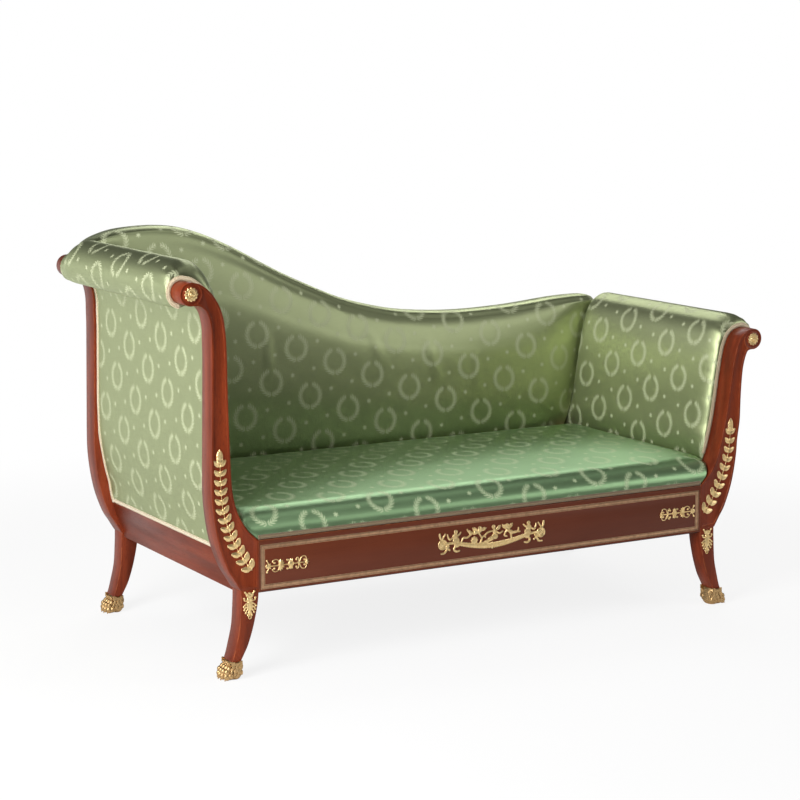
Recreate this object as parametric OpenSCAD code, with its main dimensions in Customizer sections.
/* [Overall] */
// Depth over the front and back standards
depth = 700; // [620:5:760]
// Length of the seat rails between the standards
rail_len = 1186; // [1080:2:1300]
// Height of the centre of the high scroll
high_scroll_z = 841; // [800:1:880]
// Height of the centre of the low scroll
low_scroll_z = 648; // [620:1:680]
// Distance from the rail's end out to a scroll's centre
scroll_reach = 149; // [143:1:155]
// Radius of a scroll's round eye
scroll_r = 25; // [23:0.5:27]

/* [Standards] */
// Thickness of a standard, front to back
standard_t = 50; // [44:1:56]
// Height of the knee, where a standard's sweep turns into its straight shaft
knee_z = 445; // [425:1:465]
// How far the sweep carries the shaft's outer face out from the rail's end
sweep_out = 108; // [104:1:112]
// Width of the bead that edges a front standard's face
bead_w = 5; // [4:0.5:6]
// How far the bead stands above the face
bead_h = 1.5; // [1:0.25:2]
// Depth of the ring turned into a scroll's eye
eye_ring_d = 1.5; // [1:0.25:2]

/* [Legs and paws] */
// Height of the top of a leg, where its standard stands on it
leg_top = 196; // [188:1:204]
// Thickness of a leg, front to back
leg_t = 45; // [40:1:48]
// Width of a leg at its top
leg_top_w = 42; // [38:1:46]
// Width of a leg at its paw
leg_foot_w = 21; // [18:1:26]
// How far a leg sweeps outward
leg_sweep = 45; // [36:1:54]
// Height of a paw
paw_h = 40; // [36:1:44]
// Radius of a toe
toe_r = 8; // [7:0.25:9]
// How far the toes reach past the leg's outer edge
toe_reach = 24; // [20:1:30]
// Length of the stub tenon on a leg
stub_l = 12; // [8:1:16]

/* [Seat frame] */
// Thickness of the front and back rails
rail_t = 28; // [24:1:32]
// Height of the rails' lower edge
rail_z = 188; // [180:1:194]
// Height of the front and back rails
rail_h = 114; // [108:1:120]
// Height of the end rails' upper edge
end_rail_top = 276; // [270:1:284]
// Distance from the rail's end out to the inner face of an end rail
end_rail_set = 9; // [4:1:14]
// Thickness of a tenon
tenon_t = 12; // [8:1:14]
// Length of a tenon
tenon_l = 24; // [16:1:26]
// Height of a tenon
tenon_h = 60; // [50:1:66]
// Height of a tenon's lower face above the rail's lower edge
tenon_lift = 26; // [24:1:30]
// Length of a corner block's sides
block_l = 60; // [40:1:80]
// Height of a corner block
block_h = 84; // [60:1:100]

/* [Inlay and mounts] */
// Width of the brass inlay
inlay_w = 10; // [6:0.5:12]
// Distance of the inlay from the front rail's ends and lower edge
inlay_inset = 5; // [4:0.5:8]
// Distance of the inlay from the front rail's upper edge
inlay_drop = 11; // [8:0.5:14]
// Depth of the inlay
inlay_d = 1.5; // [1:0.25:2]
// Thickness of a gilt mount
mount_t = 3; // [2:0.5:4]
// Radius of a scroll's rosette
rosette_r = 16; // [13:0.5:18]
// Length of a laurel leaf
leaf_l = 18; // [14:0.5:20]
// Number of leaf pairs on a high laurel branch
high_pairs = 12; // [8:1:14]
// Number of leaf pairs on a low laurel branch
low_pairs = 9; // [6:1:10]
// Height of a palmette
palmette_h = 62; // [48:1:70]
// Length of a side mount on the front rail
side_mount_l = 104; // [80:2:120]
// Height of a side mount
side_mount_h = 30; // [24:1:34]
// Length of the centre mount
centre_mount_l = 292; // [240:2:320]
// Height of the centre mount
centre_mount_h = 58; // [48:1:64]

/* [Upholstery] */
// Height of the seat's front crest
seat_crest_z = 366; // [356:1:376]
// Height of the seat's crown above its crest
seat_crown = 17; // [8:1:24]
// Thickness of the back's stuffing at its fullest
back_fill = 50; // [40:1:60]
// Thickness of the back's stuffing at its edges
back_edge = 17; // [14:1:20]
// Thickness of the stuffing over the top rail
top_fill = 14; // [10:1:18]
// Thickness of the outer covers
cover_t = 6; // [4:0.5:8]
// Width of the gimp braid
gimp_w = 10; // [8:0.5:11]
// Thickness of the gimp braid
gimp_t = 2.5; // [2:0.25:3]
// Height of the back's top rail
top_rail_h = 60; // [50:1:70]
// Depth of the back's top rail, front to back
top_rail_t = 36; // [32:1:40]
// Height of the tacking rails
tack_rail_h = 40; // [34:1:46]
// Thickness of the tacking rails
tack_rail_t = 20; // [16:1:24]
// How far the tacking rails lie above the seat rails
tack_rail_lift = 23; // [18:1:28]
// Width of a webbing strap
strap_w = 50; // [40:1:55]
// Thickness of webbing and hessian
strap_t = 1.2; // [1:0.1:1.6]
// Thickness of a spring's wire
wire_d = 3.6; // [3:0.1:4.5]
// Radius of a spring at its ends
spring_r = 42; // [34:1:46]
// Number of springs in a row
springs_long = 4; // [3:1:5]
// Number of turns of a spring
spring_turns = 4; // [3:1:5]

/* [Hidden] */

// Smoothness of round pieces
$fn = 48;

// Named clearances and overruns
seat_gap = 0.3;
tenon_fit = 0.2;
cut_over = 5;

mahogany = "#6a2a18";
beech = "#c79b6b";
gilt = "#c9a24a";
brass = "#a9854f";
green_silk = "#7f9a63";
deep_silk = "#3f7a4e";
gimp_cream = "#e2d3b0";
webbing_tan = "#b09a72";
spring_steel = "#8d8f92";
dust_black = "#2b2a28";

half_rail = rail_len / 2;
half_depth = depth / 2;
front_face = -half_depth;
inner_y = half_depth - standard_t;
rail_top = rail_z + rail_h;
tack_rail_z = rail_top + tack_rail_lift;
scroll_x = half_rail + scroll_reach;
knee_h = knee_z - leg_top;

// Step count for smooth outlines
curve_steps = 4;

// A smooth curve through its points
function spline(a, b, c, d, t) =
    b + t * (c - a + t * (2 * a - 5 * b + 4 * c - d + t * (3 * (b - c) + d - a))) / 2;
function mirrored_end(p, q) = 2 * p - q;
function smooth(points, steps = curve_steps) =
    let (last = len(points) - 1,
         before = mirrored_end(points[0], points[1]),
         after = mirrored_end(points[last], points[last - 1]),
         run = concat([before], points, [after]))
    concat(
        [for (i = [0:last - 1], k = [0:steps - 1])
            spline(run[i], run[i + 1], run[i + 2], run[i + 3], k / steps)],
        [points[last]]);

// The unit normal to the left of a curve at one of its points
function left_normal(path, i) =
    let (a = path[max(i - 1, 0)],
         b = path[min(i + 1, len(path) - 1)],
         run = norm(b - a))
    [-(b[1] - a[1]) / run, (b[0] - a[0]) / run];
function shifted(path, by) =
    [for (i = [0:len(path) - 1]) path[i] + by * left_normal(path, i)];
function reversed(path) = [for (i = [len(path) - 1:-1:0]) path[i]];
function between_heights(path, low, high) =
    [for (p = path) if (p[1] >= low && p[1] <= high) p];
function crossing(path, height) =
    let (hits = [for (i = [0:len(path) - 2])
        let (a = path[i], b = path[i + 1])
        if ((a[1] - height) * (b[1] - height) <= 0 && a[1] != b[1])
            a + (b - a) * (height - a[1]) / (b[1] - a[1])])
    hits[0];
function cut_path(path, low, high) =
    let (body = between_heights(path, low, high),
         start = path[0][1] < path[len(path) - 1][1] ? low : high,
         end = path[0][1] < path[len(path) - 1][1] ? high : low,
         lead = body[0][1] == start ? [] : [crossing(path, start)],
         tail = body[len(body) - 1][1] == end ? [] : [crossing(path, end)])
    concat(lead, body, tail);

// The sweep from the leg up to the knee, as shares of the sweep's width and height
outer_sweep_shares = [[0.4, 0], [0.54, 0.1], [0.68, 0.2], [0.84, 0.385],
    [0.93, 0.56], [0.98, 0.72], [1, 0.85]];
inner_sweep_shares = [[0.14, 0.48], [0.25, 0.53], [0.39, 0.63],
    [0.47, 0.715], [0.53, 0.81]];
high_outer_knee_shares = [[1, 1], [0.99, 1.25], [0.975, 1.6]];
high_inner_knee_shares = [[0.57, 0.93], [0.59, 1.1], [0.61, 1.35], [0.625, 1.6]];

// The neck from the shaft up to the scroll, as shares of the scroll's radius
high_outer_neck_shares = [[-1.83, -6], [-1.82, -4.3], [-1.8, -3.1], [-1.6, -2.05],
    [-1.25, -1.38], [-0.75, -1.03], [-0.1, -0.99]];
high_inner_neck_shares = [[-3.22, -7.6], [-3.2, -5.7], [-3.1, -3.5], [-2.85, -1.9],
    [-2.4, -0.8], [-1.7, 0.15], [-0.85, 0.78], [-0.1, 0.99]];
low_outer_neck_shares = [[-1.4, -7.8], [-1.36, -5.8], [-1.28, -4], [-1.15, -2.7],
    [-0.9, -1.7], [-0.6, -1.1], [-0.1, -0.99]];
low_inner_neck_shares = [[-3.15, -7.8], [-2.8, -5.7], [-2.5, -3.6], [-2.2, -1.8],
    [-1.9, -0.6], [-1.45, 0.3], [-0.8, 0.8], [-0.1, 0.99]];

function sweep_point(share) =
    [half_rail + share[0] * sweep_out, leg_top + share[1] * knee_h];
function sweep_points(shares) = [for (s = shares) sweep_point(s)];
function scroll_points(shares, centre_z) =
    [for (s = shares) [scroll_x, centre_z] + s * scroll_r];
function eye_points(from, to, step, centre_z) =
    [for (a = [from:step:to]) [scroll_x, centre_z] + scroll_r * [cos(a), sin(a)]];

function outer_edge(high) =
    smooth(concat(
        sweep_points(outer_sweep_shares),
        high ? sweep_points(high_outer_knee_shares) : [],
        scroll_points(high ? high_outer_neck_shares : low_outer_neck_shares,
            high ? high_scroll_z : low_scroll_z)));
function inner_edge(high) =
    smooth(concat(
        [[half_rail, rail_top]],
        sweep_points(inner_sweep_shares),
        high ? sweep_points(high_inner_knee_shares) : [],
        scroll_points(high ? high_inner_neck_shares : low_inner_neck_shares,
            high ? high_scroll_z : low_scroll_z)));
function scroll_z(high) = high ? high_scroll_z : low_scroll_z;
function standard_outline(high) = concat(
    [[half_rail, leg_top]],
    outer_edge(high),
    [[scroll_x, scroll_z(high)]],
    reversed(inner_edge(high)));

// Places a piece drawn for the low end, at plus X, on either end of the sofa
module at_end(high) {
    mirror([high ? 1 : 0, 0, 0]) children();
}
module at_side(front) {
    mirror([0, front ? 0 : 1, 0]) children();
}
// Draws an XZ outline as a plate from y_from to y_to
module plate(y_from, y_to) {
    translate([0, y_to, 0]) rotate([90, 0, 0]) linear_extrude(y_to - y_from) children();
}

// The inset outline that the bead frames
function inset_outline(high) = concat(
    [[half_rail + bead_w, leg_top + bead_w]],
    [for (p = shifted(outer_edge(high), bead_w)) if (p[1] > leg_top + bead_w) p],
    [[scroll_x, scroll_z(high)]],
    reversed(shifted(inner_edge(high), -bead_w)));

module tenon_mortises() {
    // One for the long rail and one for the end rail
    mortise_z = rail_z + tenon_lift - tenon_fit;
    mortise_h = tenon_h + 2 * tenon_fit;
    translate([half_rail - cut_over, front_face + rail_t / 2 - tenon_t / 2 - tenon_fit, mortise_z])
        cube([tenon_l + tenon_fit + cut_over, tenon_t + 2 * tenon_fit, mortise_h]);
    translate([end_tenon_x - tenon_fit, -inner_y - tenon_l / 2 - tenon_fit, mortise_z])
        cube([tenon_t + 2 * tenon_fit, tenon_l / 2 + tenon_fit + cut_over, mortise_h]);
    translate([stub_x - tenon_fit, front_face + leg_t / 2 - tenon_t / 2 - tenon_fit, leg_top - cut_over])
        cube([tenon_t + 2 * tenon_fit, tenon_t + 2 * tenon_fit, stub_l + tenon_fit + cut_over]);
}
end_tenon_x = half_rail + end_rail_set + tenon_t / 2;
stub_x = half_rail + leg_top_w / 2 - tenon_t / 2;

// A standard: swept foot, straight shaft and scrolled top, with a beaded face in front
module standard(high, front) {
    at_end(high) at_side(front) difference() {
        union() {
            plate(front_face, -inner_y) polygon(standard_outline(high));
            translate([scroll_x, -inner_y, scroll_z(high)])
                rotate([90, 0, 0]) cylinder(r = scroll_r, h = standard_t);
        }
        if (front) {
            plate(front_face - cut_over, front_face + bead_h) difference() {
                polygon(inset_outline(high));
                translate([scroll_x, scroll_z(high)]) circle(r = scroll_r + bead_h);
            }
            translate([scroll_x, front_face, scroll_z(high)]) rotate([90, 0, 0])
                translate([0, 0, -eye_ring_d]) difference() {
                    cylinder(r = scroll_r - bead_h, h = eye_ring_d + cut_over);
                    translate([0, 0, -cut_over])
                        cylinder(r = rosette_r + bead_h, h = eye_ring_d + 3 * cut_over);
                }
        }
        tenon_mortises();
    }
}
module high_front_standard() { color(mahogany) standard(true, true); }
module high_back_standard() { color(mahogany) standard(true, false); }
module low_front_standard() { color(mahogany) standard(false, true); }
module low_back_standard() { color(mahogany) standard(false, false); }

// A sabre leg: its edges as shares of its sweep and of its height, from the top down
leg_inner_shares = [[0, 0], [0.04, 0.16], [0.16, 0.35], [0.35, 0.57], [0.6, 0.78], [0.83, 0.91], [1, 1]];
leg_outer_shares = [[0, 0], [0.04, 0.2], [0.19, 0.52], [0.51, 0.745], [0.79, 0.91], [1, 1]];
leg_h = leg_top - paw_h;
leg_foot_x = half_rail + leg_sweep;
leg_outer_sweep = leg_sweep + leg_foot_w - leg_top_w;
function leg_outline() = concat(
    smooth([for (s = leg_inner_shares)
        [half_rail + s[0] * leg_sweep, leg_top - s[1] * leg_h]]),
    reversed(smooth([for (s = leg_outer_shares)
        [half_rail + leg_top_w + s[0] * leg_outer_sweep, leg_top - s[1] * leg_h]])));
module leg(high, front) {
    at_end(high) at_side(front) {
        plate(front_face, front_face + leg_t) polygon(leg_outline());
        translate([stub_x, front_face + leg_t / 2 - tenon_t / 2, leg_top - cut_over])
            cube([tenon_t, tenon_t, stub_l + cut_over]);
    }
}
module high_front_leg() { color(mahogany) leg(true, true); }
module high_back_leg() { color(mahogany) leg(true, false); }
module low_front_leg() { color(mahogany) leg(false, true); }
module low_back_leg() { color(mahogany) leg(false, false); }

// A lion's paw: four toes that spread from a heel, cut flat where it stands and where the leg stands
toes = 4;
heel_stretch_share = 1.3;
pad_stretch_share = 1.5;
knuckle_share = 0.8;
boss_t = mount_t / 2;
paw_face = half_depth + mount_t + boss_t;
paw_half_w = leg_t / 2 + mount_t + boss_t;
paw_y = -paw_face + paw_half_w;
toe_pitch = (paw_half_w - toe_r) * 2 / (toes - 1);
sole_cut = boss_t;
heel_r = leg_foot_w / 2 + mount_t;
heel_x = leg_foot_x + leg_foot_w / 2;
toe_x = heel_x + leg_foot_w / 2 + toe_reach - toe_r;
module paw(high, front) {
    at_end(high) at_side(front) translate([0, paw_y, 0]) intersection() {
        union() {
            hull() {
                translate([heel_x, 0, paw_h - heel_r / 2])
                    cube([2 * heel_r, 2 * paw_half_w, heel_r], center = true);
                translate([heel_x - mount_t, 0, heel_r - sole_cut])
                    scale([1, heel_stretch_share, 1]) sphere(r = heel_r, $fn = 14);
                translate([heel_x + toe_r, 0, heel_r - sole_cut])
                    scale([1, pad_stretch_share, 1]) sphere(r = heel_r, $fn = 14);
            }
            for (i = [0:toes - 1]) {
                toe_y = (i - (toes - 1) / 2) * toe_pitch;
                hull() {
                    translate([toe_x - abs(toe_y) / 4, toe_y, toe_r - sole_cut])
                        sphere(r = toe_r, $fn = 12);
                    translate([heel_x + toe_r / 2, toe_y * knuckle_share, heel_r + toe_r])
                        sphere(r = toe_r, $fn = 12);
                }
            }
        }
        translate([half_rail, -paw_half_w, 0])
            cube([scroll_reach, 2 * paw_half_w, paw_h]);
    }
}
module high_front_paw() { color(gilt) paw(true, true); }
module high_back_paw() { color(gilt) paw(true, false); }
module low_front_paw() { color(gilt) paw(false, true); }
module low_back_paw() { color(gilt) paw(false, false); }

// A long rail with a tenon at each end
module long_rail() {
    translate([-half_rail, front_face, rail_z]) cube([rail_len, rail_t, rail_h]);
    translate([-half_rail - tenon_l, front_face + rail_t / 2 - tenon_t / 2, rail_z + tenon_lift])
        cube([rail_len + 2 * tenon_l, tenon_t, tenon_h]);
}
inlay_top = rail_top - inlay_drop;
inlay_low = rail_z + inlay_inset;
module inlay_frame(y_from, y_to) {
    plate(y_from, y_to) difference() {
        translate([-half_rail + inlay_inset, inlay_low])
            square([rail_len - 2 * inlay_inset, inlay_top - inlay_low]);
        translate([-half_rail + inlay_inset + inlay_w, inlay_low + inlay_w])
            square([rail_len - 2 * (inlay_inset + inlay_w), inlay_top - inlay_low - 2 * inlay_w]);
    }
}
module front_rail() {
    color(mahogany) difference() {
        long_rail();
        inlay_frame(front_face - cut_over, front_face + inlay_d);
    }
}
module rail_inlay() { color(brass) inlay_frame(front_face, front_face + inlay_d); }
module back_rail() { color(mahogany) at_side(false) long_rail(); }

// How far the outer covers and end rails lie inside the standards' outer edge, by height
cover_inset_shares = [[0, 0.12], [0.33, 0.4], [0.5, 0.48], [0.79, 0.36], [1, 0.22], [1.3, 0.16], [3, 0.14]];
function cover_inset(z) = lookup((z - leg_top) / knee_h, cover_inset_shares) * standard_t;
function cover_path(high) =
    let (edge = outer_edge(high))
    [for (i = [0:len(edge) - 1]) edge[i] + cover_inset(edge[i][1]) * left_normal(edge, i)];

// An end rail: straight inside, and its outer face follows the standards' sweep
end_rail_inner = half_rail + end_rail_set;
end_rail_low = rail_z - strap_t;
function end_rail_outline() =
    let (face = cover_path(true),
         foot = crossing(face, leg_top + cover_inset(leg_top)),
         top = crossing(face, end_rail_top))
    concat([[end_rail_inner, end_rail_low], [foot[0], end_rail_low], foot],
        between_heights(face, foot[1] + seat_gap, end_rail_top - seat_gap),
        [top, [end_rail_inner, end_rail_top]]);
module end_rail(high) {
    at_end(high) {
        plate(-inner_y, inner_y) polygon(end_rail_outline());
        translate([end_tenon_x, -inner_y - tenon_l / 2, rail_z + tenon_lift])
            cube([tenon_t, 2 * inner_y + tenon_l, tenon_h]);
    }
}
module high_end_rail() { color(mahogany) end_rail(true); }
module low_end_rail() { color(mahogany) end_rail(false); }

// A glue block in each corner of the seat frame
rail_inner_y = half_depth - rail_t;
module corner_blocks() {
    color(beech) for (high = [true, false], front = [true, false])
        at_end(high) at_side(front) translate([0, 0, rail_z + rail_h / 2 - block_h / 2])
            linear_extrude(block_h) polygon([
                [half_rail, -rail_inner_y], [half_rail, -inner_y],
                [end_rail_inner, -inner_y], [end_rail_inner, -inner_y + block_l],
                [half_rail - block_l, -rail_inner_y]]);
}

// The rollers between the scrolls' eyes, which the arm covers turn over
web_set = 1;
roller_r = scroll_r - web_set - strap_t - 2 * seat_gap;
module roller(high) {
    at_end(high) translate([scroll_x, inner_y, scroll_z(high)])
        rotate([90, 0, 0]) cylinder(r = roller_r, h = 2 * inner_y);
}
module high_arm_roller() { color(beech) roller(true); }
module low_arm_roller() { color(beech) roller(false); }

// An arm's tacking rail, which takes the lower end of the webbing
tack_rail_top = tack_rail_z + tack_rail_h;
module arm_tacking_rail(high) {
    run = cut_path(inner_edge(high), tack_rail_z, tack_rail_top);
    at_end(high) plate(-inner_y, inner_y)
        polygon(concat(shifted(run, -web_set - strap_t - seat_gap),
            reversed(shifted(run, -web_set - strap_t - seat_gap - tack_rail_t))));
}
module high_arm_tacking_rail() { color(beech) arm_tacking_rail(true); }
module low_arm_tacking_rail() { color(beech) arm_tacking_rail(false); }

// The crest of the back: shares of the scrolls' distance, and of the rise from low to high scroll
crest_shares = [[-0.99, 1.18], [-0.965, 1.27], [-0.93, 1.35], [-0.87, 1.42], [-0.8, 1.45],
    [-0.72, 1.455], [-0.64, 1.42], [-0.555, 1.32], [-0.46, 1.16], [-0.37, 0.98],
    [-0.28, 0.8], [-0.19, 0.64], [-0.06, 0.43], [0.07, 0.29], [0.2, 0.2],
    [0.39, 0.15], [0.6, 0.17], [0.8, 0.235], [0.9, 0.25], [0.945, 0.24], [0.975, 0.2], [0.99, 0.165]];
scroll_rise = high_scroll_z - low_scroll_z;
function crest_point(share) =
    [share[0] * scroll_x, low_scroll_z + share[1] * scroll_rise];
crest_path = smooth([for (s = crest_shares) crest_point(s)]);
function height_at(path, x) =
    let (i = search_run(path, x, 0))
    path[i][1] + (x - path[i][0]) / (path[i + 1][0] - path[i][0]) * (path[i + 1][1] - path[i][1]);
function search_run(path, x, i) =
    (i >= len(path) - 2 || path[i + 1][0] >= x) ? i : search_run(path, x, i + 1);

// The back's wooden frame stands between the back standards
module standards_outlines() {
    for (high = [true, false]) at_end_2d(high) {
        polygon(standard_outline(high));
        translate([scroll_x, scroll_z(high)]) circle(r = scroll_r);
    }
}
module at_end_2d(high) {
    mirror([high ? 1 : 0, 0]) children();
}
tip_share = 0.96;
tip_x = scroll_x * tip_share;
top_rail_reach = tip_x - top_fill / 2;
module back_top_rail() {
    run = [for (p = crest_path) if (abs(p[0]) < top_rail_reach) p];
    color(beech) plate(inner_y, inner_y + top_rail_t) difference() {
        polygon(concat(
            [for (p = run) p - [0, top_fill + mount_t]],
            reversed([for (p = run) p - [0, top_fill + top_rail_h]])));
        standards_outlines();
    }
}
upright_w = top_rail_h;
upright_y = inner_y + tack_rail_t;
upright_shares = [-1, 1];
module back_uprights() {
    color(beech) for (side = upright_shares) {
        x_mid = side * half_rail / 3;
        run = [for (p = crest_path) if (abs(p[0] - x_mid) < upright_w / 2) p];
        plate(upright_y, inner_y + top_rail_t) polygon(concat(
            [[x_mid - upright_w / 2, rail_top], [x_mid + upright_w / 2, rail_top]],
            [[x_mid + upright_w / 2, height_at(crest_path, x_mid + upright_w / 2) - top_fill - top_rail_h]],
            reversed([for (p = run) p - [0, top_fill + top_rail_h]]),
            [[x_mid - upright_w / 2, height_at(crest_path, x_mid - upright_w / 2) - top_fill - top_rail_h]]));
    }
}
module back_tacking_rail() {
    run = cut_path(inner_edge(true), tack_rail_z, tack_rail_top);
    color(beech) plate(inner_y, inner_y + tack_rail_t)
        polygon(concat(run, reversed([for (p = run) [-p[0], p[1]]])));
}

// Webbing under the springs: straps front to back on the rails, and straps along the seat below them
cross_straps = 9;
long_straps = 4;
module seat_cross_webbing() {
    pitch = rail_len / cross_straps;
    color(webbing_tan) for (i = [0:cross_straps - 1]) {
        strap_x = (i - (cross_straps - 1) / 2) * pitch - strap_w / 2;
        translate([strap_x, -half_depth + rail_t / 2, rail_z - strap_t])
            cube([strap_w, depth - rail_t, strap_t]);
    }
}
module seat_long_webbing() {
    pitch = 2 * rail_inner_y / long_straps;
    color(webbing_tan) for (i = [0:long_straps - 1])
        translate([-end_rail_inner - rail_t / 2, (i - (long_straps - 1) / 2) * pitch - strap_w / 2,
                rail_z - 2 * strap_t])
            cube([2 * end_rail_inner + rail_t, strap_w, strap_t]);
}
module dust_cover() {
    end_reach = end_rail_inner + rail_t * 3 / 4;
    color(dust_black) translate([0, 0, rail_z - 3 * strap_t - seat_gap]) {
        translate([-half_rail + seat_gap, front_face + rail_t / 3, 0])
            cube([rail_len - 2 * seat_gap, depth - 2 * rail_t / 3, strap_t]);
        translate([-end_reach, -inner_y + seat_gap, 0])
            cube([2 * end_reach, 2 * inner_y - 2 * seat_gap, strap_t]);
    }
}
module seat_hessian() {
    reach = inner_y + top_rail_t - front_face - rail_t / 3;
    color(webbing_tan) difference() {
        translate([-half_rail + seat_gap, front_face + rail_t / 3, rail_top])
            cube([rail_len - 2 * seat_gap, reach, strap_t]);
        for (side = upright_shares) {
            slot_x = side * half_rail / 3 - upright_w / 2 - seat_gap;
            translate([slot_x, upright_y - seat_gap, rail_top - cut_over])
                cube([upright_w + 2 * seat_gap, rail_t, rail_h]);
        }
    }
}

// A waisted coil spring of one unbroken wire
spring_low = rail_z + seat_gap;
spring_h = rail_h - 2 * seat_gap;
wire_sides = 4;
turn_rings = 8;
waist_share = 0.35;
function spring_point(t) =
    let (r = (spring_r - wire_d / 2) * (1 - waist_share * sin(180 * t)))
    [r * cos(360 * spring_turns * t), r * sin(360 * spring_turns * t),
     spring_low + wire_d / 2 + (spring_h - wire_d) * t];
module tube(path, d, sides) {
    count = len(path);
    rings = [for (i = [0:count - 1])
        let (a = path[max(i - 1, 0)],
             b = path[min(i + 1, count - 1)],
             ahead = (b - a) / norm(b - a),
             side = cross([0, 0, 1], ahead) / norm(cross([0, 0, 1], ahead)),
             lift = cross(ahead, side))
        for (k = [0:sides - 1])
            path[i] + d / 2 * (cos(360 * (k + 0.5) / sides) * side + sin(360 * (k + 0.5) / sides) * lift)];
    polyhedron(rings, concat(
        [for (i = [0:count - 2], k = [0:sides - 1])
            let (n = (k + 1) % sides)
            [i * sides + k, (i + 1) * sides + n, i * sides + n]],
        [for (i = [0:count - 2], k = [0:sides - 1])
            let (n = (k + 1) % sides)
            [i * sides + k, (i + 1) * sides + k, (i + 1) * sides + n]],
        [[for (k = [0:sides - 1]) k]],
        [[for (k = [sides - 1:-1:0]) (count - 1) * sides + k]]));
}
module seat_springs() {
    steps = spring_turns * turn_rings;
    pitch = rail_len / springs_long;
    color(spring_steel) for (i = [0:springs_long - 1], j = [-1, 1])
        translate([(i - (springs_long - 1) / 2) * pitch, j * rail_inner_y / 2, 0])
            tube([for (k = [0:steps]) spring_point(k / steps)], wire_d, wire_sides);
}

// The arm stuffing's outline: where it meets the standard, and where it is fullest
eye_inside_angles = [-125, -85, -40, 5, 45, 85];
high_fill_shares = [[-0.73, -1.04], [0.25, -1.36], [1.1, -1.02], [1.56, 0.1], [1.3, 1.35], [0.35, 2.3],
    [-0.86, 2.62], [-2.15, 2], [-3.05, 0.6], [-3.6, -1], [-3.98, -2.8], [-4.2, -5.2], [-4.2, -7.6]];
high_inside_shares = [[-0.85, 0.78], [-1.7, 0.15], [-2.4, -0.8], [-2.85, -1.9],
    [-3.1, -3.5], [-3.2, -5.7], [-3.22, -7.6]];
low_fill_shares = [[-0.73, -1.04], [0.25, -1.36], [1.1, -1.02], [1.56, 0.1], [1.25, 1.25], [0.35, 2],
    [-0.76, 2.2], [-1.85, 1.6], [-2.6, 0.5], [-3.05, -0.9], [-3.4, -2.5], [-3.75, -4.8], [-4.1, -7.8]];
low_inside_shares = [[-0.8, 0.8], [-1.45, 0.3], [-1.9, -0.6], [-2.2, -1.8],
    [-2.5, -3.6], [-2.8, -5.7], [-3.15, -7.8]];
pad_low_z = seat_crest_z - top_fill;
pad_side = crossing(inner_edge(true), pad_low_z)[0] - strap_t;
function pad_inside(high) =
    let (edge = inner_edge(high))
    concat(
        [for (a = eye_inside_angles) [scroll_x, scroll_z(high)] + scroll_r * [cos(a), sin(a)]],
        scroll_points(high ? high_inside_shares : low_inside_shares, scroll_z(high)),
        [for (z = high ? high_shaft_heights : low_shaft_heights) crossing(edge, z)]);
function pad_full(high) =
    concat(
        scroll_points(high ? high_fill_shares : low_fill_shares, scroll_z(high)),
        [for (z = high ? high_shaft_heights : low_shaft_heights)
            [pad_side + strap_t * min(1, max(0, (z - shaft_mid_z) / (knee_z - shaft_mid_z))), z]]);
shaft_mid_z = (knee_z + pad_low_z) / 2;
high_shaft_shares = [0.303, 0.126];
high_shaft_heights = concat(
    [for (share = high_shaft_shares) knee_z + share * (high_scroll_z - knee_z)],
    [knee_z, shaft_mid_z, pad_low_z]);
low_shaft_heights = [shaft_mid_z, pad_low_z];

// An arm's stuffing: full along its length, drawn in to the gimp at both ends
pad_steps = 3;
held_share = 0.8;
pad_end_shares = [0, 0.06, 0.2, 0.5, 1];
front_blend = 45;
back_blend = 38;
back_hold = inner_y - back_edge - gimp_w / 2;
pad_face = inner_y - seat_gap;
function pad_stations() = concat(
    [for (t = pad_end_shares) [-pad_face + t * front_blend, sqrt(1 - (1 - t) * (1 - t))]],
    [for (t = reversed(pad_end_shares)) [back_hold - t * back_blend, sqrt(1 - (1 - t) * (1 - t))]],
    [[pad_face, 0]]);
module arm_stuffing(high) {
    inside = smooth(pad_inside(high), pad_steps);
    full = smooth(pad_full(high), pad_steps);
    count = len(inside);
    held = [for (i = [0:count - 1])
        let (gap = full[i] - inside[i])
        inside[i] + min(gimp_w, norm(gap) * held_share) * gap / norm(gap)];
    rings = [for (s = pad_stations())
        concat(
            [for (i = [0:count - 1])
                let (p = held[i] + s[1] * (full[i] - held[i])) [p[0], s[0], p[1]]],
            [for (i = [count - 1:-1:0]) [inside[i][0], s[0], inside[i][1]]])];
    at_end(high) loft(rings);
}

// A closed solid through rings of points, whose ends are closed by pairing each ring's halves
module loft(rings) {
    count = len(rings);
    size = len(rings[0]);
    function at(i, k) = i * size + (k % size);
    polyhedron([for (r = rings, p = r) p], concat(
        [for (i = [0:count - 2], k = [0:size - 1]) [at(i, k), at(i, k + 1), at(i + 1, k + 1)]],
        [for (i = [0:count - 2], k = [0:size - 1]) [at(i, k), at(i + 1, k + 1), at(i + 1, k)]],
        [for (k = [0:size / 2 - 2]) [at(0, k), at(0, size - 1 - k), at(0, k + 1)]],
        [for (k = [0:size / 2 - 2]) [at(0, k + 1), at(0, size - 1 - k), at(0, size - 2 - k)]],
        [for (k = [0:size / 2 - 2])
            [at(count - 1, k), at(count - 1, k + 1), at(count - 1, size - 1 - k)]],
        [for (k = [0:size / 2 - 2])
            [at(count - 1, k + 1), at(count - 1, size - 2 - k), at(count - 1, size - 1 - k)]]));
}
module high_arm_upholstery() { color(green_silk) arm_stuffing(true); }
module low_arm_upholstery() { color(green_silk) arm_stuffing(false); }

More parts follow.
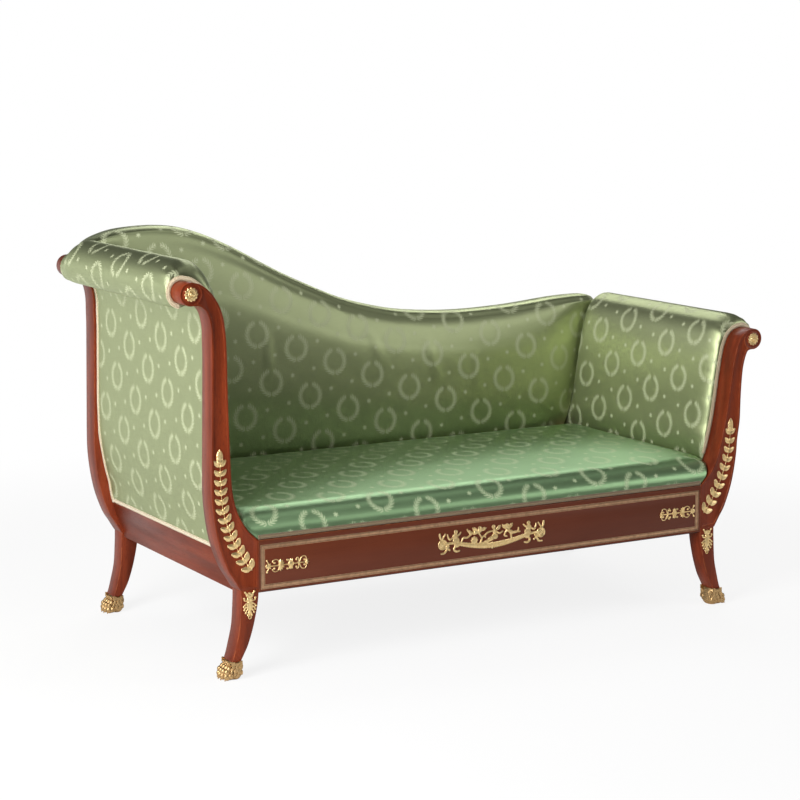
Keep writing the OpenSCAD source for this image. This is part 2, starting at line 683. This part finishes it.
// Webbing straps from each tacking rail up over its roller
arm_strap_shares = [-0.6, 0, 0.6];
module arm_webbing(high) {
    run = [for (p = inner_edge(high)) if (p[1] >= tack_rail_z) p];
    over = [for (a = [90:-15:0]) [scroll_x, scroll_z(high)] + scroll_r * [cos(a), sin(a)]];
    line = concat(run, over);
    at_end(high) for (share = arm_strap_shares)
        translate([0, share * inner_y, 0]) plate(-strap_w / 2, strap_w / 2)
            polygon(concat(shifted(line, -web_set), reversed(shifted(line, -web_set - strap_t))));
}
module high_arm_webbing() { color(webbing_tan) arm_webbing(true); }
module low_arm_webbing() { color(webbing_tan) arm_webbing(false); }
back_strap_shares = [-0.84, -0.6, -0.36, -0.12, 0.12, 0.36, 0.6, 0.84];
module back_webbing() {
    color(webbing_tan) for (share = back_strap_shares) {
        x_mid = share * half_rail;
        top = height_at(crest_path, x_mid) - top_fill - top_rail_h / 2;
        plate(inner_y - strap_t, inner_y)
            translate([x_mid - strap_w / 2, tack_rail_z]) square([strap_w, top - tack_rail_z]);
    }
}

// The seat: rings that rise from the frame, draw in at the crest and close over the crown
seat_low = rail_top + strap_t + seat_gap;
seat_front = half_depth - gimp_t - seat_gap;
seat_back = inner_y - strap_t - seat_gap - back_fill - seat_gap;
seat_side = pad_side - seat_gap;
seat_rise = seat_crest_z - seat_low;
seat_corner_r = 26;
ring_corner_steps = 5;
crown_reach = (seat_front + seat_back) / 2 - seat_corner_r;
// Each ring: how far it is drawn in, as a share of the crown's reach, and its height share
seat_side_shares = [0, 0.18, 0.45, 0.64];
gimp_share = 0.18;
seat_crown_shares = [[0.012, 0.8], [0.035, 0.93], [0.075, 1], [0.16, 1], [0.34, 1], [0.62, 1], [1, 1]];
crown_close_share = 0.98;
corner_run_share = 0.25;
seat_edge_r = seat_corner_r / 5;
function seat_half(z) =
    min(crossing(inner_edge(true), max(z, rail_top + seat_gap))[0] - seat_gap, seat_side);
function ring_points(half_x, y_front, y_back, r, z) =
    let (corners = [[half_x - r, y_back - r], [-half_x + r, y_back - r],
            [-half_x + r, -y_front + r], [half_x - r, -y_front + r]])
    [for (c = [0:3], k = [0:ring_corner_steps])
        let (a = 90 * (c + k / ring_corner_steps))
        [corners[c][0] + r * cos(a), corners[c][1] + r * sin(a), z]];
function crown_z(share) = seat_crest_z + seat_crown * (1 - (1 - share) * (1 - share));
module seat_cushion() {
    side_rings = [for (s = seat_side_shares)
        let (z = seat_low + s * seat_rise)
        ring_points(seat_half(z) - seat_gap,
            seat_front + gimp_t * sin(180 * max(0, s - gimp_share) / (1 - gimp_share)),
            seat_back, seat_edge_r, z)];
    top_rings = [for (s = seat_crown_shares)
        let (reach = s[0] * crown_reach,
             z = s[1] < 1 ? seat_low + s[1] * seat_rise : crown_z(s[0]),
             r = seat_edge_r + (seat_corner_r - seat_edge_r) * min(1, s[0] / corner_run_share))
        ring_points(seat_side - seat_gap - reach, seat_front - reach,
            seat_back - reach * crown_close_share, r, z)];
    rings = concat(side_rings, top_rings);
    size = len(rings[0]);
    count = len(rings);
    color(deep_silk) polyhedron([for (r = rings, p = r) p], concat(
        [for (i = [0:count - 2], k = [0:size - 1])
            [i * size + k, (i + 1) * size + (k + 1) % size, i * size + (k + 1) % size]],
        [for (i = [0:count - 2], k = [0:size - 1])
            [i * size + k, (i + 1) * size + k, (i + 1) * size + (k + 1) % size]],
        [[for (k = [0:size - 1]) k]],
        [[for (k = [size - 1:-1:0]) (count - 1) * size + k]]));
}

// The back's stuffing: a patch between its four edges, carried over the top rail
pad_clear = gimp_w + 2 * strap_t;
back_rear = inner_y - strap_t - seat_gap;
high_row_shares = [0, 0.05, 0.1, 0.155, 0.22, 0.38, 0.56, 0.73, 0.79, 0.85, 0.91, 0.96, 1];
low_row_shares = [0, 0.08, 0.16, 0.24, 0.33, 0.44, 0.56, 0.67, 0.75, 0.82, 0.89, 0.95, 1];
back_rows = len(high_row_shares) - 1;
back_columns = 30;
fill_blend = 130;
lean_share = 0.3;
lean_start_share = 0.5;
crowding_share = 0.35;
function side_line(high) =
    let (edge = inner_edge(high),
         inset = [for (i = [0:len(edge) - 1]) edge[i] + pad_clear * left_normal(edge, i)],
         tip = [tip_x, height_at(crest_path, (high ? -1 : 1) * tip_x) - top_fill],
         kept = [for (p = inset) if (p[1] > seat_low && p[1] < tip[1] - mount_t && p[0] < tip_x - mount_t) p])
    concat([[kept[0][0] - strap_t, seat_low]], kept, [tip]);
function run_lengths(path, i = 1, sum = 0, out = [0]) =
    i >= len(path) ? out
    : let (next = sum + norm(path[i] - path[i - 1])) run_lengths(path, i + 1, next, concat(out, [next]));
function at_shares(path, shares) =
    let (runs = run_lengths(path), total = runs[len(runs) - 1])
    [for (share = shares)
        let (want = total * share, i = run_index(runs, want, 0),
             f = (want - runs[i]) / max(runs[i + 1] - runs[i], 0.001))
        path[i] + f * (path[i + 1] - path[i])];
function run_index(runs, want, i) =
    (i >= len(runs) - 2 || runs[i + 1] >= want) ? i : run_index(runs, want, i + 1);
back_left = [for (p = at_shares(side_line(true), high_row_shares)) [-p[0], p[1]]];
back_right = at_shares(side_line(false), low_row_shares);
back_low = [back_left[0], back_right[0]];
function back_top(t) =
    let (x = back_left[back_rows][0] * (1 - t) + back_right[back_rows][0] * t)
    [x, height_at(crest_path, x) - top_fill];
function patch(u, j) =
    let (v = j / back_rows,
         low = back_low[0] * (1 - u) + back_low[1] * u,
         top = back_top(u),
         left = back_left[j],
         right = back_right[j],
         flat = (back_low[0] * (1 - u) + back_low[1] * u) * (1 - v)
             + (back_left[back_rows] * (1 - u) + back_right[back_rows] * u) * v)
    low * (1 - v) + top * v + left * (1 - u) + right * u - flat;
function swell(gap) =
    let (f = max(0, min(1, gap / fill_blend))) 1 - (1 - f) * (1 - f);
function back_front_y(u, j) =
    let (p = patch(u, j),
         gap = min(p[0] - back_left[j][0], back_right[j][0] - p[0]),
         v = j / back_rows,
         lean = 1 - lean_share * max(0, v - lean_start_share) / (1 - lean_start_share))
    back_rear - back_edge - (back_fill - back_edge) * swell(gap) * lean;
flap_t = 7;
flap_drop = 30;
flap_inner_y = inner_y + top_rail_t + seat_gap;
crest_round = top_fill / 5;
wood_look = 32;
function over_edge(x) =
    let (z = height_at(crest_path, x),
         wood = standard_top(x),
         low = max(z - top_fill - flap_drop, wood + flap_clear),
         shelf = max(z - top_fill, wood + flap_clear))
    [[x, inner_y - top_fill, z - crest_round], [x, inner_y + top_rail_t / 3, z],
     [x, flap_inner_y, z - crest_round], [x, flap_inner_y + flap_t, z - top_fill],
     [x, flap_inner_y + flap_t, min(low, shelf - seat_gap)], [x, flap_inner_y, min(low, shelf - seat_gap)],
     [x, flap_inner_y, shelf], [x, back_rear, shelf]];
// The top of the wood of a back standard under a point of the crest, or zero between the standards
function standard_top(x) =
    let (high = x < 0,
         edge = inner_edge(high),
         reach = abs(x) + wood_look)
    reach < edge[0][0] ? 0
    : reach > scroll_x - scroll_r / 2 ? scroll_z(high) + scroll_r
    : max([for (i = [0:len(edge) - 2])
        let (a = edge[i], b = edge[i + 1])
        (a[0] <= reach && b[0] >= reach && b[0] > a[0])
            ? a[1] + (b[1] - a[1]) * (reach - a[0]) / (b[0] - a[0]) : 0]);
column_shares = [for (k = [0:back_columns])
    let (t = k / back_columns) t - crowding_share * sin(360 * t) / (2 * PI)];
module back_upholstery() {
    rings = [for (u = column_shares)
        let (x = back_top(u)[0],
             front = [for (j = [0:back_rows]) let (p = patch(u, j)) [p[0], back_front_y(u, j), p[1]]],
             rear = [for (j = [back_rows - 1:-1:0]) let (p = patch(u, j)) [p[0], back_rear, p[1]]])
        concat(front, over_edge(x), rear)];
    color(green_silk) back_loft(rings);
}
module back_loft(rings) {
    count = len(rings);
    size = len(rings[0]);
    rows = back_rows;
    function at(i, k) = i * size + (k % size);
    // The end of a ring: its sides pair up, and its turned edge has faces of its own
    edge_faces = [[8, 1, 0], [8, 2, 1], [8, 7, 2], [7, 3, 2], [7, 4, 3], [7, 5, 4], [7, 6, 5]];
    function end_faces(i) = concat(
        [for (j = [0:rows - 1]) [at(i, j), at(i, size - 1 - j), at(i, j + 1)]],
        [for (j = [0:rows - 1]) [at(i, j + 1), at(i, size - 1 - j), at(i, size - 2 - j)]],
        [for (f = edge_faces) [for (k = f) at(i, rows + k)]]);
    polyhedron([for (r = rings, p = r) p], concat(
        [for (i = [0:count - 2], k = [0:size - 1]) [at(i, k), at(i, k + 1), at(i + 1, k + 1)]],
        [for (i = [0:count - 2], k = [0:size - 1]) [at(i, k), at(i + 1, k + 1), at(i + 1, k)]],
        end_faces(0),
        [for (f = end_faces(count - 1)) [for (k = [len(f) - 1:-1:0]) f[k]]]));
}

// The covers on the outer faces of the arms, and on the outside of the back
cover_low = end_rail_top + seat_gap;
function cover_run(high) =
    let (edge = cover_path(high),
         hold = roller_r + cover_t + 2 * seat_gap,
         kept = [for (p = edge)
             if (p[1] > cover_low + seat_gap && norm(p - [scroll_x, scroll_z(high)]) > hold) p])
    concat([crossing(edge, cover_low)], kept);
module outer_cover(high) {
    run = cover_run(high);
    at_end(high) plate(-inner_y + seat_gap, inner_y - seat_gap)
        polygon(concat(run, reversed(shifted(run, cover_t))));
}
module high_arm_outer_cover() { color(green_silk) outer_cover(true); }
module low_arm_outer_cover() { color(green_silk) outer_cover(false); }
back_cover_y = inner_y + top_rail_t + seat_gap;
flap_clear = 1.5;
function back_cover_outline(margin) =
    let (left = [for (p = shifted(inner_edge(true), margin)) [-p[0], p[1]]],
         right = shifted(inner_edge(false), margin),
         low = rail_top + margin,
         crest = [for (p = crest_path) p - [0, top_fill + flap_drop + flap_clear + margin]],
         in_left = [for (p = left) if (p[1] > low && p[1] < height_at(crest, p[0])) p],
         in_right = [for (p = right) if (p[1] > low && p[1] < height_at(crest, p[0])) p],
         x_left = in_left[len(in_left) - 1][0],
         x_right = in_right[len(in_right) - 1][0])
    concat([[-half_rail + margin, low]], in_left,
        [for (p = crest) if (p[0] > x_left && p[0] < x_right) p],
        reversed(in_right), [[half_rail - margin, low]]);
module outside_back_cover() {
    color(green_silk) plate(back_cover_y, back_cover_y + cover_t) polygon(back_cover_outline(seat_gap));
}

// Gimp braid where the covers end
module seat_gimp() {
    color(gimp_cream) translate([-half_rail + seat_gap, front_face + seat_gap, rail_top + strap_t])
        cube([rail_len - 2 * seat_gap, gimp_t - seat_gap, gimp_w]);
}
function rim_line(high) = concat(
    [for (p = inner_edge(high)) if (p[1] > seat_crest_z) p],
    reversed(eye_points(-80, 80, 10, scroll_z(high))));
module arm_gimp(high) {
    inside = rim_line(high);
    rim = concat(shifted(inside, 2 * seat_gap), reversed(shifted(inside, gimp_w)));
    run = cover_run(high);
    low_run = concat([run[0]],
        [for (p = run) if (p[1] > cover_low + seat_gap && p[1] < cover_low + gimp_w) p],
        [crossing(run, cover_low + gimp_w)]);
    at_end(high) {
        for (front = [true, false]) at_side(front) {
            if (front) plate(-inner_y - gimp_t, -inner_y) polygon(rim);
            plate(-inner_y + seat_gap, -inner_y + seat_gap + gimp_w)
                polygon(concat(shifted(run, -seat_gap), reversed(shifted(run, -gimp_t))));
        }
        plate(-inner_y + 2 * seat_gap + gimp_w, inner_y - 2 * seat_gap - gimp_w)
            polygon(concat(shifted(low_run, -seat_gap), reversed(shifted(low_run, -gimp_t))));
    }
}
module high_arm_gimp() { color(gimp_cream) arm_gimp(true); }
module low_arm_gimp() { color(gimp_cream) arm_gimp(false); }
module back_gimp() {
    gimp_y = back_cover_y + cover_t;
    low = rail_top + seat_gap;
    color(gimp_cream) plate(gimp_y, gimp_y + gimp_t) {
        for (high = [true, false]) at_end_2d(high) {
            line = back_side_run(high, gimp_w, low + gimp_w + seat_gap);
            edge = back_side_run(high, seat_gap, low + gimp_w + seat_gap);
            polygon(concat(edge, reversed(line)));
        }
        back_crest_strip(seat_gap, gimp_w);
        translate([-half_rail, low]) square([rail_len, gimp_w]);
    }
}
// A side of the outside back, drawn for the low end, up to just under the crest's strip
function back_side_run(high, margin, low) =
    let (side = high ? -1 : 1,
         drop = top_fill + flap_drop + flap_clear + gimp_w + seat_gap,
         edge = shifted(inner_edge(high), margin))
    [for (p = edge) if (p[1] > low && p[1] < height_at(crest_path, side * p[0]) - drop) p];
module back_crest_strip(from, to) {
    drop = top_fill + flap_drop + flap_clear;
    outline = back_cover_outline(seat_gap);
    xs = [for (p = outline) p[0]];
    run = [for (p = crest_path) if (p[0] > min(xs) + to && p[0] < max(xs) - to) p - [0, drop]];
    polygon(concat([for (p = run) p - [0, from]], reversed([for (p = run) p - [0, to]])));
}

// Gilt mounts
mount_face = front_face + bead_h;
leaf_steps = 8;
leaf_belly_share = 0.8;
leaf_plump_share = 0.75;
module leaf_2d(l, w) {
    // A plump leaf with a pointed foot, from the origin along X
    half = [for (k = [1:leaf_steps - 1])
        let (t = k / leaf_steps) [t * l, w / 2 * pow(sin(180 * pow(t, leaf_belly_share)), leaf_plump_share)]];
    polygon(concat([[0, 0]], half, [[l, 0]], reversed([for (p = half) [p[0], -p[1]]])));
}
module mount_plate(face) {
    plate(face - mount_t, face) children();
}

// The parts of a casting on the front face: a leaf, a ball, and a stroke of one width through its points
ball_sides = 14;
stroke_steps = 3;
stem_t = mount_t * 2 / 3;
module cast_leaf(place, turn, l, w) {
    plate(front_face - mount_t, front_face) translate(place) rotate(turn) leaf_2d(l, w);
}
module cast_ball(place, r) {
    translate([place[0], front_face, place[1]]) rotate([90, 0, 0])
        cylinder(r = r, h = mount_t, $fn = ball_sides);
}
module cast_stroke(points, w) {
    line = smooth(points, stroke_steps);
    plate(front_face - stem_t, front_face)
        polygon(concat(shifted(line, w / 2), reversed(shifted(line, -w / 2))));
}
function scaled(shares, l, h) = [for (s = shares) [s[0] * l, s[1] * h]];
both_sides = [-1, 1];

petals = 12;
petal_share = 0.19;
rosette_disc_share = 0.74;
module rosette(high) {
    at_end(high) translate([scroll_x, 0, scroll_z(high)]) {
        mount_plate(front_face) {
            circle(r = rosette_r * rosette_disc_share);
            for (i = [0:petals - 1]) rotate(360 * i / petals)
                translate([rosette_r * (1 - petal_share), 0]) circle(r = rosette_r * petal_share, $fn = 16);
        }
        translate([0, front_face - mount_t, 0]) rotate([90, 0, 0]) cylinder(r = rosette_r / 4, h = boss_t);
    }
}
module high_rosette() { color(gilt) rosette(true); }
module low_rosette() { color(gilt) rosette(false); }

// A laurel branch up the middle of a standard: a stem, leaf pairs and a bud
branch_shares = [[0.105, 0.15], [0.2, 0.2], [0.31, 0.265], [0.46, 0.37], [0.6, 0.5],
    [0.68, 0.6], [0.76, 0.72], [0.8, 0.9], [0.81, 1.08], [0.82, 1.24]];
high_branch_start_share = 0.16;
low_branch_end_share = 0.83;
leaf_spread = 48;
leaf_w = leaf_l / 2;
bud_l_share = 1.3;
bud_w_share = 0.7;
bud_back_share = 0.1;
function branch_path(high) =
    [for (p = smooth(sweep_points(branch_shares)))
        let (share = (p[1] - leg_top) / knee_h)
        if (high ? share >= high_branch_start_share : share <= low_branch_end_share) p];
module laurel(high) {
    pairs = high ? high_pairs : low_pairs;
    stem = at_shares(branch_path(high), [for (k = [0:pairs]) k / pairs]);
    at_end(high) mount_plate(mount_face) union() {
        polygon(concat(shifted(stem, leaf_l / 16), reversed(shifted(stem, -leaf_l / 16))));
        for (k = [0:pairs - 1]) {
            ahead = stem[k + 1] - stem[k];
            turn = atan2(ahead[1], ahead[0]);
            translate(stem[k]) rotate(turn) for (side = both_sides)
                rotate(side * leaf_spread) leaf_2d(leaf_l, leaf_w);
        }
        last = stem[pairs] - stem[pairs - 1];
        translate(stem[pairs] - last * bud_back_share) rotate(atan2(last[1], last[0]))
            leaf_2d(leaf_l * bud_l_share, leaf_l * bud_w_share);
    }
}
module high_laurel_mount() { color(gilt) laurel(true); }
module low_laurel_mount() { color(gilt) laurel(false); }

// A palmette on the top of a leg: horns and hooks over a long leaf with leaflets and a ring
palmette_x = half_rail + leg_top_w / 2 + mount_t / 2;
palmette_stroke_share = 0.055;
palmette_horn_shares = [[0, -0.22], [0.1, -0.18], [0.13, -0.09], [0.18, -0.02]];
palmette_hook_shares = [[0, -0.33], [0.12, -0.34], [0.2, -0.31], [0.215, -0.24]];
palmette_leaflet_shares = [[[0.02, -0.38], [0.15, -0.45], [0.23, -0.53]],
    [[0.02, -0.48], [0.14, -0.56], [0.21, -0.65]],
    [[0.02, -0.6], [0.11, -0.67], [0.16, -0.76]],
    [[0, -0.7], [0.05, -0.77], [0.08, -0.85]]];
palmette_ball_shares = [[-0.06, -0.12], [0, -0.1], [0.06, -0.12], [-0.05, -0.28], [0.05, -0.28]];
palmette_leaf_start_share = [0, -0.2];
palmette_leaf_l_share = 0.7;
palmette_leaf_w_share = 0.22;
palmette_ring_share = [0, -0.93];
palmette_ring_r_share = 0.065;
module palmette(high) {
    stroke_w = palmette_h * palmette_stroke_share;
    at_end(high) translate([palmette_x, 0, leg_top - mount_t]) {
        cast_leaf(palmette_leaf_start_share * palmette_h, -90,
            palmette_h * palmette_leaf_l_share, palmette_h * palmette_leaf_w_share);
        for (side = both_sides) {
            cast_stroke(scaled(palmette_horn_shares, side * palmette_h, palmette_h), stroke_w);
            cast_stroke(scaled(palmette_hook_shares, side * palmette_h, palmette_h), stroke_w);
            for (leaflet = palmette_leaflet_shares)
                cast_stroke(scaled(leaflet, side * palmette_h, palmette_h), stroke_w);
        }
        for (share = palmette_ball_shares) cast_ball(share * palmette_h, stroke_w);
        cast_ball(palmette_ring_share * palmette_h, palmette_h * palmette_ring_r_share);
    }
}
module high_palmette_mount() { color(gilt) palmette(true); }
module low_palmette_mount() { color(gilt) palmette(false); }

// A side mount on the front rail, as shares of its length from the outer end, and of its height
rail_mid_z = (inlay_top + inlay_low) / 2;
side_mount_x = half_rail - inlay_inset - inlay_w - mount_t;
side_stem_shares = [[0.02, 0], [0.94, 0]];
side_stroke_shares = [[[0.1, 0.02], [0.05, 0.2], [0.015, 0.42]],
    [[0.3, 0.04], [0.28, 0.36], [0.2, 0.45], [0.14, 0.3], [0.19, 0.2]],
    [[0.57, 0.04], [0.54, 0.3], [0.49, 0.34]],
    [[0.75, 0.03], [0.755, 0.3], [0.72, 0.42], [0.695, 0.28]],
    [[0.77, 0.03], [0.82, 0.4], [0.9, 0.45], [0.935, 0.24], [0.89, 0.18]]];
side_ball_shares = [[0.19, 0.2], [0.49, 0.32], [0.7, 0.27], [0.89, 0.18]];
side_stroke_w_share = 0.09;
side_ball_r_share = 0.09;
side_hub_shares = [[0.03, 0], [0.57, 0]];
side_hub_r_share = 0.2;
side_fan_start_share = [0.3, 0];
side_fan_turns = [-75, -50, -25, 0, 25, 50, 75];
side_fan_l_share = 0.46;
side_fan_w_share = 0.17;
side_plume_turns = [-98, -78, 78, 98];
side_tip_start_share = [0.91, 0];
side_tip_turns = [-40, 0, 40];
side_tip_l_share = 0.09;
module side_mount(high) {
    l = -side_mount_l;
    h = side_mount_h;
    at_end(high) translate([side_mount_x, 0, rail_mid_z]) {
        cast_stroke(scaled(side_stem_shares, l, h), h * side_stroke_w_share);
        for (side = both_sides, stroke = side_stroke_shares)
            cast_stroke(scaled(stroke, l, side * h), h * side_stroke_w_share);
        for (side = both_sides, share = side_ball_shares)
            cast_ball([share[0] * l, side * share[1] * h], h * side_ball_r_share);
        for (share = side_hub_shares) cast_ball([share[0] * l, share[1] * h], h * side_hub_r_share);
        for (turn = side_fan_turns)
            cast_leaf(side_fan_start_share * l, 180 + turn, h * side_fan_l_share, h * side_fan_w_share);
        for (turn = side_plume_turns)
            cast_leaf(side_hub_shares[1] * l, turn, h * side_fan_l_share, h * side_fan_w_share);
        for (turn = side_tip_turns)
            cast_leaf(side_tip_start_share * l, 180 + turn,
                side_mount_l * side_tip_l_share, h * side_fan_w_share);
    }
}
module high_side_mount() { color(gilt) side_mount(true); }
module low_side_mount() { color(gilt) side_mount(false); }

// The centre mount: a hanging garland held up by a figure at each end, with three figures over it
swag_steps = 8;
swag_reach_share = 0.66;
swag_end_share = -0.05;
swag_drop_share = 0.33;
swag_end_w_share = 0.12;
swag_swell_share = 0.05;
// The right end's figure, as shares of half the length and of the height
end_stroke_shares = [[[0.726, 0.4], [0.712, 0.2], [0.7, -0.04]],
    [[0.72, 0.26], [0.79, 0.28], [0.83, 0.42]],
    [[0.715, 0.16], [0.8, 0.1], [0.88, 0.02]],
    [[0.705, 0.03], [0.67, -0.2], [0.63, -0.43]],
    [[0.705, 0.03], [0.79, -0.18], [0.85, -0.43]],
    [[0.91, 0.05], [0.93, 0.3], [0.96, 0.42]],
    [[0.6, -0.06], [0.68, 0.04], [0.74, 0.12]]];
end_stroke_w_shares = [0.17, 0.08, 0.08, 0.09, 0.09, 0.1, 0.12];
disc_share = [0.917, -0.05];
disc_r_share = 0.205;
// The three figures over the garland
figure_stroke_shares = [[[0.04, 0.38], [0.03, 0.1], [0.01, -0.2], [0, -0.36]],
    [[0.03, 0.27], [-0.05, 0.2], [-0.1, 0.16]],
    [[0.03, 0.27], [0.1, 0.2], [0.165, 0.14]],
    [[-0.02, -0.34], [-0.08, -0.22], [-0.14, -0.2]],
    [[-0.26, 0.36], [-0.3, 0.12], [-0.35, -0.06]],
    [[-0.33, 0.02], [-0.41, -0.1], [-0.46, -0.26]],
    [[-0.28, 0.2], [-0.2, 0.04], [-0.2, -0.32]],
    [[0.29, 0.36], [0.29, 0.16], [0.34, 0.02]],
    [[0.32, 0.06], [0.33, -0.1], [0.35, -0.3]],
    [[0.3, 0.22], [0.41, 0.14], [0.47, 0.24]]];
figure_stroke_w_shares = [0.2, 0.07, 0.07, 0.1, 0.16, 0.08, 0.07, 0.16, 0.09, 0.07];
head_shares = [[0.04, 0.42], [-0.26, 0.41], [0.29, 0.41], [0.726, 0.43], [-0.726, 0.43]];
head_r_share = 0.07;
wing_start_shares = [[-0.29, 0.2], [-0.27, 0.2], [0.28, 0.2], [0.3, 0.2]];
wing_turns = [126, 48, 122, 40];
wing_l_share = 0.36;
wing_w_share = 0.14;
flower_share = [-0.356, -0.12];
flower_r_share = 0.15;
module centre_mount() {
    l = centre_mount_l / 2;
    h = centre_mount_h;
    swag = [for (k = [-swag_steps:swag_steps])
        [l * swag_reach_share * k / swag_steps,
         h * (swag_end_share - swag_drop_share * cos(90 * k / swag_steps))]];
    swag_half = [for (k = [-swag_steps:swag_steps])
        h * (swag_end_w_share + swag_swell_share * cos(90 * k / swag_steps)) / 2];
    swag_count = len(swag) - 1;
    color(gilt) translate([0, 0, rail_mid_z]) {
        mount_plate(front_face) polygon(concat(
            [for (i = [0:swag_count]) swag[i] + swag_half[i] * left_normal(swag, i)],
            [for (i = [swag_count:-1:0]) swag[i] - swag_half[i] * left_normal(swag, i)]));
        for (side = both_sides) {
            for (i = [0:len(end_stroke_shares) - 1])
                cast_stroke(scaled(end_stroke_shares[i], side * l, h), h * end_stroke_w_shares[i]);
            cast_ball([side * disc_share[0] * l, disc_share[1] * h], h * disc_r_share);
        }
        for (i = [0:len(figure_stroke_shares) - 1])
            cast_stroke(scaled(figure_stroke_shares[i], l, h), h * figure_stroke_w_shares[i]);
        for (share = head_shares) cast_ball([share[0] * l, share[1] * h], h * head_r_share);
        for (i = [0:len(wing_turns) - 1])
            cast_leaf([wing_start_shares[i][0] * l, wing_start_shares[i][1] * h], wing_turns[i],
                h * wing_l_share, h * wing_w_share);
        cast_ball([flower_share[0] * l, flower_share[1] * h], h * flower_r_share);
    }
}

front_rail();
back_rail();
high_end_rail();
low_end_rail();
high_front_standard();
high_back_standard();
low_front_standard();
low_back_standard();
high_front_leg();
high_back_leg();
low_front_leg();
low_back_leg();
high_front_paw();
high_back_paw();
low_front_paw();
low_back_paw();
corner_blocks();
rail_inlay();
high_arm_roller();
low_arm_roller();
high_arm_tacking_rail();
low_arm_tacking_rail();
back_top_rail();
back_uprights();
back_tacking_rail();
seat_cross_webbing();
seat_long_webbing();
seat_springs();
seat_hessian();
dust_cover();
high_arm_webbing();
low_arm_webbing();
back_webbing();
seat_cushion();
back_upholstery();
high_arm_upholstery();
low_arm_upholstery();
high_arm_outer_cover();
low_arm_outer_cover();
outside_back_cover();
seat_gimp();
high_arm_gimp();
low_arm_gimp();
back_gimp();
high_rosette();
low_rosette();
high_laurel_mount();
low_laurel_mount();
high_palmette_mount();
low_palmette_mount();
high_side_mount();
low_side_mount();
centre_mount();
